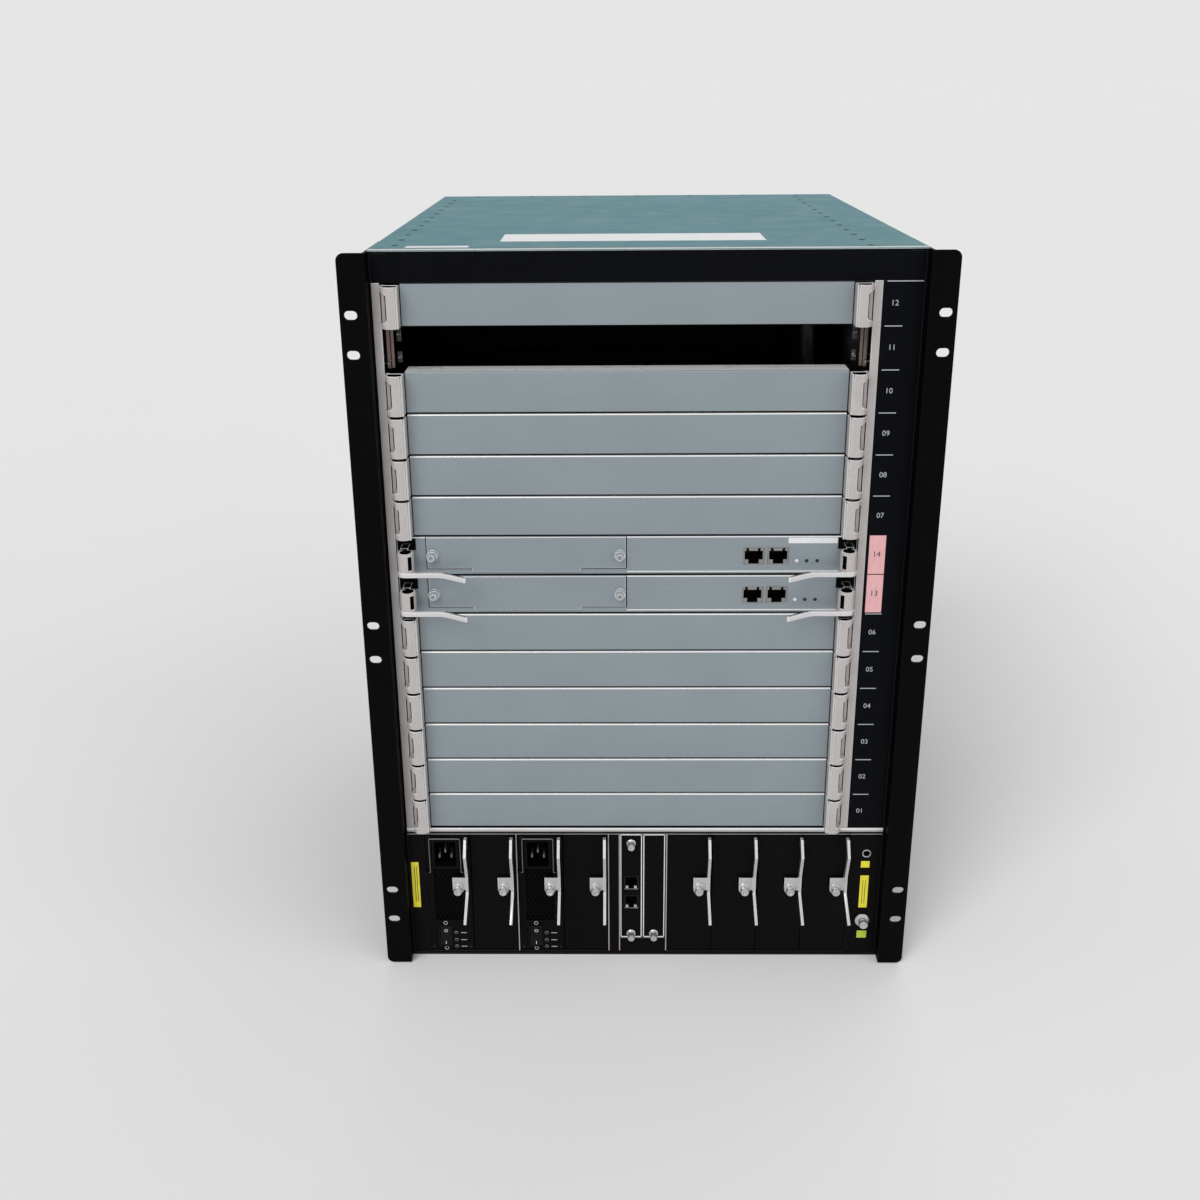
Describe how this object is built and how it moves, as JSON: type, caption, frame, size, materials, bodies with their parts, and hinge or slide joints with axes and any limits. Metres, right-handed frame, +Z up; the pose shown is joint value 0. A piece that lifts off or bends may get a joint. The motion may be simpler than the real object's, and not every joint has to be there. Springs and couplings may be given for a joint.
{
  "type": "modular chassis switch",
  "caption": "Tall rack-mounted chassis switch with horizontal card slots behind blank panels, paired control boards, a lower power bay with swinging levers, and rear fan trays.",
  "frame": {"origin": "centre of the underside of the chassis body, between its side faces and between its front and rear faces", "axes": "+Z up, +Y from the front to the rear, +X to the right as seen from the front"},
  "size_m": [0.4826, 0.52, 0.664],
  "materials": {
    "body_paint": "fine-textured near-black satin paint",
    "cover_paint": "satin grey paint seen from above",
    "panel_metal": "satin blue-grey silver paint",
    "rail_metal": "satin aluminium",
    "lever_metal": "nickel-plated steel",
    "frame_metal": "satin dark paint with bright zinc edges",
    "supply_case": "satin near-black face on a zinc-coated case",
    "bay_face": "satin near-black paint",
    "board_green": "green circuit board",
    "black_plastic": "matt black plastic",
    "wire_steel": "bright spring wire",
    "fan_grey": "satin zinc-grey sheet"
  },
  "bodies": {
    "chassis": {"side_panel_left": "body_paint", "side_panel_right": "body_paint", "top_cover": "cover_paint", "bottom_plate": "body_paint", "front_fascia": "body_paint", "slot_label_column": "body_paint", "ear_left": "body_paint", "ear_right": "body_paint", "card_rail_left": "rail_metal", "card_rail_right": "rail_metal", "power_bay_frame": "frame_metal", "backplane": "board_green", "rear_panel": "body_paint", "filler_slot_12": "panel_metal", "filler_slot_10": "panel_metal", "filler_slot_09": "panel_metal", "filler_slot_08": "panel_metal", "filler_slot_07": "panel_metal", "filler_slot_06": "panel_metal", "filler_slot_05": "panel_metal", "filler_slot_04": "panel_metal", "filler_slot_03": "panel_metal", "filler_slot_02": "panel_metal", "filler_slot_01": "panel_metal", "blank_module_2": "bay_face", "blank_module_4": "bay_face", "blank_module_5": "bay_face", "blank_module_6": "bay_face", "blank_module_7": "bay_face", "blank_module_8": "bay_face", "monitor_blank": "bay_face"},
    "control_board_14": {"control_board_14": "panel_metal", "subcard_14": "panel_metal"},
    "ejector_14_left": {"ejector_14_left": "rail_metal"},
    "ejector_14_right": {"ejector_14_right": "rail_metal"},
    "control_board_13": {"control_board_13": "panel_metal", "subcard_13": "panel_metal"},
    "ejector_13_left": {"ejector_13_left": "rail_metal"},
    "ejector_13_right": {"ejector_13_right": "rail_metal"},
    "power_supply_1": {"power_supply_1": "supply_case"},
    "cord_bail_1": {"cord_bail_1": "wire_steel"},
    "rocker_1": {"rocker_1": "black_plastic"},
    "power_supply_2": {"power_supply_2": "supply_case"},
    "cord_bail_2": {"cord_bail_2": "wire_steel"},
    "rocker_2": {"rocker_2": "black_plastic"},
    "lever_1": {"lever_1": "lever_metal"},
    "lever_2": {"lever_2": "lever_metal"},
    "lever_3": {"lever_3": "lever_metal"},
    "lever_4": {"lever_4": "lever_metal"},
    "lever_5": {"lever_5": "lever_metal"},
    "lever_6": {"lever_6": "lever_metal"},
    "lever_7": {"lever_7": "lever_metal"},
    "lever_8": {"lever_8": "lever_metal"},
    "monitor_card": {"monitor_card": "bay_face"},
    "fan_tray_lower": {"fan_tray_lower": "fan_grey"},
    "fan_rotor_lower_left": {"fan_rotor_lower_left": "black_plastic"},
    "fan_rotor_lower_right": {"fan_rotor_lower_right": "black_plastic"},
    "fan_tray_upper": {"fan_tray_upper": "fan_grey"},
    "fan_rotor_upper_left": {"fan_rotor_upper_left": "black_plastic"},
    "fan_rotor_upper_right": {"fan_rotor_upper_right": "black_plastic"}
  },
  "joints": [
    {"name": "control_board_14_slide", "type": "slide", "parent": "chassis", "child": "control_board_14", "axis": [0, -1, 0], "range_m": [0, 0.25]},
    {"name": "ejector_14_left_hinge", "type": "hinge", "parent": "control_board_14", "child": "ejector_14_left", "pos_m": [-0.2022, -0.239, 0.40683], "axis": [0, 0, -1], "range_deg": [0, 60]},
    {"name": "ejector_14_right_hinge", "type": "hinge", "parent": "control_board_14", "child": "ejector_14_right", "pos_m": [0.1697, -0.239, 0.40683], "axis": [0, 0, 1], "range_deg": [0, 60]},
    {"name": "control_board_13_slide", "type": "slide", "parent": "chassis", "child": "control_board_13", "axis": [0, -1, 0], "range_m": [0, 0.25]},
    {"name": "ejector_13_left_hinge", "type": "hinge", "parent": "control_board_13", "child": "ejector_13_left", "pos_m": [-0.2022, -0.239, 0.37127], "axis": [0, 0, -1], "range_deg": [0, 60]},
    {"name": "ejector_13_right_hinge", "type": "hinge", "parent": "control_board_13", "child": "ejector_13_right", "pos_m": [0.1697, -0.239, 0.37127], "axis": [0, 0, 1], "range_deg": [0, 60]},
    {"name": "power_supply_1_slide", "type": "slide", "parent": "chassis", "child": "power_supply_1", "axis": [0, -1, 0], "range_m": [0, 0.25]},
    {"name": "cord_bail_1_hinge", "type": "hinge", "parent": "power_supply_1", "child": "cord_bail_1", "pos_m": [-0.1836, -0.235, 0.09396], "axis": [1, 0, 0], "range_deg": [0, 90]},
    {"name": "rocker_1_hinge", "type": "hinge", "parent": "power_supply_1", "child": "rocker_1", "pos_m": [-0.1871, -0.228, 0.0204], "axis": [1, 0, 0], "range_deg": [0, 16]},
    {"name": "power_supply_2_slide", "type": "slide", "parent": "chassis", "child": "power_supply_2", "axis": [0, -1, 0], "range_m": [0, 0.25]},
    {"name": "cord_bail_2_hinge", "type": "hinge", "parent": "power_supply_2", "child": "cord_bail_2", "pos_m": [-0.0981, -0.235, 0.09396], "axis": [1, 0, 0], "range_deg": [0, 90]},
    {"name": "rocker_2_hinge", "type": "hinge", "parent": "power_supply_2", "child": "rocker_2", "pos_m": [-0.1016, -0.228, 0.0204], "axis": [1, 0, 0], "range_deg": [0, 16]},
    {"name": "lever_1_hinge", "type": "hinge", "parent": "power_supply_1", "child": "lever_1", "pos_m": [-0.1641, -0.237, 0.12826], "axis": [-1, 0, 0], "range_deg": [0, 75]},
    {"name": "lever_2_hinge", "type": "hinge", "parent": "chassis", "child": "lever_2", "pos_m": [-0.1221, -0.237, 0.12826], "axis": [-1, 0, 0], "range_deg": [0, 75]},
    {"name": "lever_3_hinge", "type": "hinge", "parent": "power_supply_2", "child": "lever_3", "pos_m": [-0.0786, -0.237, 0.12826], "axis": [-1, 0, 0], "range_deg": [0, 75]},
    {"name": "lever_4_hinge", "type": "hinge", "parent": "chassis", "child": "lever_4", "pos_m": [-0.0366, -0.237, 0.12826], "axis": [-1, 0, 0], "range_deg": [0, 75]},
    {"name": "lever_5_hinge", "type": "hinge", "parent": "chassis", "child": "lever_5", "pos_m": [0.0594, -0.237, 0.12826], "axis": [-1, 0, 0], "range_deg": [0, 75]},
    {"name": "lever_6_hinge", "type": "hinge", "parent": "chassis", "child": "lever_6", "pos_m": [0.1014, -0.237, 0.12826], "axis": [-1, 0, 0], "range_deg": [0, 75]},
    {"name": "lever_7_hinge", "type": "hinge", "parent": "chassis", "child": "lever_7", "pos_m": [0.1434, -0.237, 0.12826], "axis": [-1, 0, 0], "range_deg": [0, 75]},
    {"name": "lever_8_hinge", "type": "hinge", "parent": "chassis", "child": "lever_8", "pos_m": [0.1854, -0.237, 0.12826], "axis": [-1, 0, 0], "range_deg": [0, 75]},
    {"name": "monitor_card_slide", "type": "slide", "parent": "chassis", "child": "monitor_card", "axis": [0, -1, 0], "range_m": [0, 0.15]},
    {"name": "fan_tray_lower_slide", "type": "slide", "parent": "chassis", "child": "fan_tray_lower", "axis": [0, 1, 0], "range_m": [0, 0.12]},
    {"name": "fan_rotor_lower_left_spin", "type": "hinge", "parent": "fan_tray_lower", "child": "fan_rotor_lower_left", "pos_m": [-0.09775, 0.189, 0.27625], "axis": [0, 1, 0], "continuous": true},
    {"name": "fan_rotor_lower_right_spin", "type": "hinge", "parent": "fan_tray_lower", "child": "fan_rotor_lower_right", "pos_m": [0.09775, 0.189, 0.27625], "axis": [0, 1, 0], "continuous": true},
    {"name": "fan_tray_upper_slide", "type": "slide", "parent": "chassis", "child": "fan_tray_upper", "axis": [0, 1, 0], "range_m": [0, 0.12]},
    {"name": "fan_rotor_upper_left_spin", "type": "hinge", "parent": "fan_tray_upper", "child": "fan_rotor_upper_left", "pos_m": [-0.09775, 0.189, 0.52641], "axis": [0, 1, 0], "continuous": true},
    {"name": "fan_rotor_upper_right_spin", "type": "hinge", "parent": "fan_tray_upper", "child": "fan_rotor_upper_right", "pos_m": [0.09775, 0.189, 0.52641], "axis": [0, 1, 0], "continuous": true}
  ]
}
